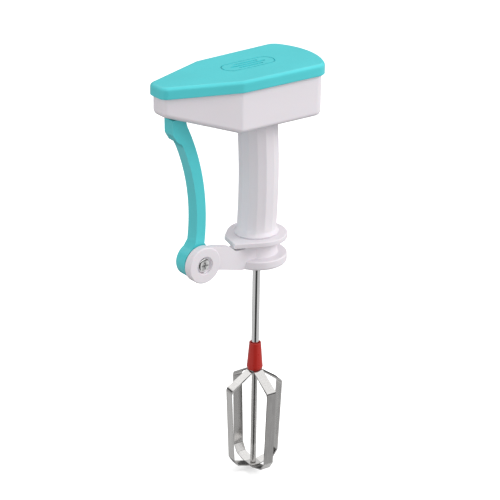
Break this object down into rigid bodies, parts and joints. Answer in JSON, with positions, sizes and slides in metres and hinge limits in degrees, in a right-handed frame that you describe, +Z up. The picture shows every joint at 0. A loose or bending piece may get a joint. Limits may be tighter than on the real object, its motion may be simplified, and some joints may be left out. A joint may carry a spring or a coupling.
{
  "type": "lever hand beater",
  "caption": "Hand-held beater: squeezing the lever beside the grip drives a rack and gear train that spins a whisk on a long shaft.",
  "frame": {"origin": "on the drive shaft's axis, halfway up the hand grip", "axes": "+Z up along the drive shaft towards the cover, +X from the narrow lever end towards the wide rear end, -Y towards the side with the pivot screw head"},
  "size_m": [0.1375, 0.0612, 0.3257],
  "materials": {
    "teal_plastic": "moulded, semi-gloss",
    "white_plastic": "moulded, satin",
    "red_plastic": "moulded, glossy",
    "nylon": "natural nylon",
    "chrome": "polished",
    "brass": "sintered",
    "steel": "zinc plated",
    "whisk_steel": "polished stainless strip"
  },
  "bodies": {
    "frame": {"gear_housing": "white_plastic", "top_cover": "teal_plastic", "hand_grip": "white_plastic", "pivot_bracket": "white_plastic", "cover_screw_1": "steel", "cover_screw_2": "steel", "cover_screw_3": "steel", "grip_screw_1": "steel", "grip_screw_2": "steel", "bracket_screw_1": "steel", "bracket_screw_2": "steel", "pivot_screw": "chrome", "pivot_spacer": "nylon", "pivot_washer": "steel", "pivot_nut": "steel", "gear_axle": "steel", "gear_washer": "steel", "upper_bush": "brass", "lower_bush": "brass"},
    "lever": {"lever": "teal_plastic", "return_spring": "steel"},
    "rack": {"rack": "nylon"},
    "gear": {"double_gear": "nylon"},
    "shaft": {"drive_shaft": "chrome", "shaft_pinion": "nylon", "retaining_ring": "steel"},
    "whisk": {"collar": "red_plastic", "whisk_loop_outer": "whisk_steel", "whisk_loop_inner": "whisk_steel", "whisk_stem": "whisk_steel", "stem_rivet": "whisk_steel"}
  },
  "joints": [
    {"name": "shaft_spin", "type": "hinge", "parent": "frame", "child": "shaft", "pos_m": [0, 0, 0], "axis": [0, 0, -1], "range_deg": [0, 1446]},
    {"name": "lever_squeeze", "type": "hinge", "parent": "frame", "child": "lever", "pos_m": [-0.0571, 0, -0.0543], "axis": [0, 1, 0], "range_deg": [0, 18.05], "stiffness_Nm_per_rad": 0.6, "springref_deg": -28.65},
    {"name": "rack_travel", "type": "slide", "parent": "frame", "child": "rack", "axis": [1, 0, 0], "range_m": [0, 0.0379]},
    {"name": "gear_turn", "type": "hinge", "parent": "frame", "child": "gear", "pos_m": [-0.024, 0, 0], "axis": [0, 0, 1], "range_deg": [0, 361.6]},
    {"name": "whisk_release", "type": "slide", "parent": "shaft", "child": "whisk", "axis": [0, 0, -1], "range_m": [0, 0.02]}
  ],
  "couplings": [
    {"joint": "lever_squeeze", "follows": "shaft_spin", "ratio": 0.012448},
    {"joint": "rack_travel", "follows": "shaft_spin", "m_per_rad": 0.0015},
    {"joint": "gear_turn", "follows": "shaft_spin", "ratio": 0.25}
  ]
}
